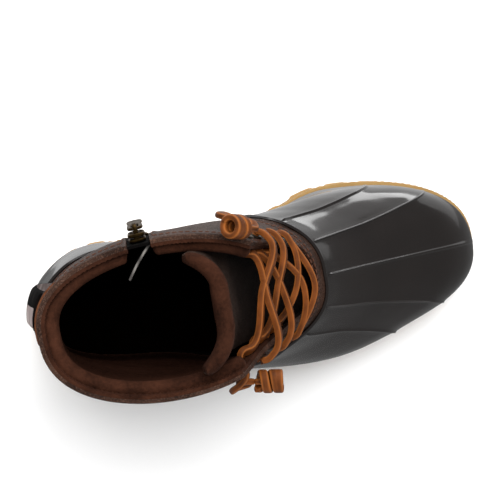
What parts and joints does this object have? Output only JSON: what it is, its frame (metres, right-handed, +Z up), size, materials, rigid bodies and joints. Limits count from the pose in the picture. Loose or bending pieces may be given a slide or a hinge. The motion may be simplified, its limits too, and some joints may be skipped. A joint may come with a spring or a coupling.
{
  "type": "duck boot",
  "caption": "Ankle-high duck boot for the right foot: moulded rubber shell, laced leather shaft with an inner side zip, fleece lining and a lugged gum sole.",
  "frame": {"origin": "on the floor under the middle of the sole's outline", "axes": "+X from heel to toe, +Y to the inner side of the right foot, +Z up"},
  "size_m": [0.275, 0.1001, 0.1952],
  "materials": {
    "gum_rubber": "satin",
    "shell_rubber": "gloss",
    "brown_leather": "satin",
    "brown_fleece": "matte",
    "rawhide": "satin",
    "antique_brass": "aged",
    "zip_tape_cloth": "matte",
    "loop_webbing": "matte"
  },
  "bodies": {
    "boot": {"outsole": "gum_rubber", "rubber_shell": "shell_rubber", "leather_shaft": "brown_leather", "tongue": "brown_leather", "insole": "brown_fleece", "eyelet_inner_1": "antique_brass", "eyelet_inner_2": "antique_brass", "eyelet_inner_3": "antique_brass", "eyelet_inner_4": "antique_brass", "eyelet_outer_1": "antique_brass", "eyelet_outer_2": "antique_brass", "eyelet_outer_3": "antique_brass", "eyelet_outer_4": "antique_brass", "lace_crossings": "rawhide", "lace_end_inner": "rawhide", "lace_knot_inner": "rawhide", "lace_end_outer": "rawhide", "lace_knot_outer": "rawhide", "zip_tape": "zip_tape_cloth", "zip_teeth": "antique_brass", "zip_slider": "antique_brass", "backstay": "brown_leather", "heel_loop": "loop_webbing"},
    "pull_tab": {"zip_pull": "antique_brass"}
  },
  "joints": [
    {"name": "pull_tab_swing", "type": "hinge", "parent": "boot", "child": "pull_tab", "pos_m": [-0.08443, 0.04079, 0.16828], "axis": [0.9879, 0.0565, 0.1445], "range_deg": [0, 150]}
  ]
}
